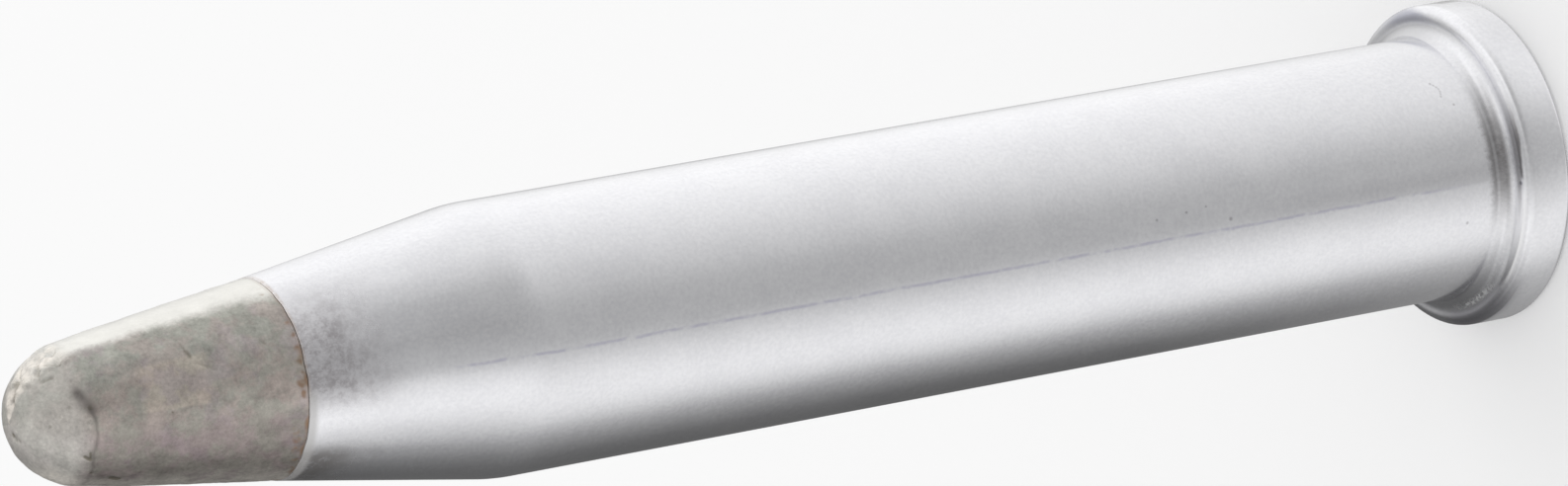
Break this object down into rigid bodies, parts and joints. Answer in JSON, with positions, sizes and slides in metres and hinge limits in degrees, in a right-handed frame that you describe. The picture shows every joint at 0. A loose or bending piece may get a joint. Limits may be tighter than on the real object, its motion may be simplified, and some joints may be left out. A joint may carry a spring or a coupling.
{
  "type": "soldering iron tip",
  "caption": "Turned soldering tip: straight barrel with a rear collar and blind heater bore, tapering to a tinned, domed working end.",
  "frame": {"origin": "centre of the rear face, where the tip stands on its collar", "axes": "+Z along the tip's own axis, from the collar to the domed working end; round about Z, so X and Y are free"},
  "size_m": [0.008, 0.008, 0.0403],
  "materials": {
    "satin_plate": "satin, faintly mottled plating",
    "solder_tin": "dull, used tin with warm oxide patches"
  },
  "bodies": {
    "root": {"tip_body": "satin_plate"}
  },
  "joints": []
}
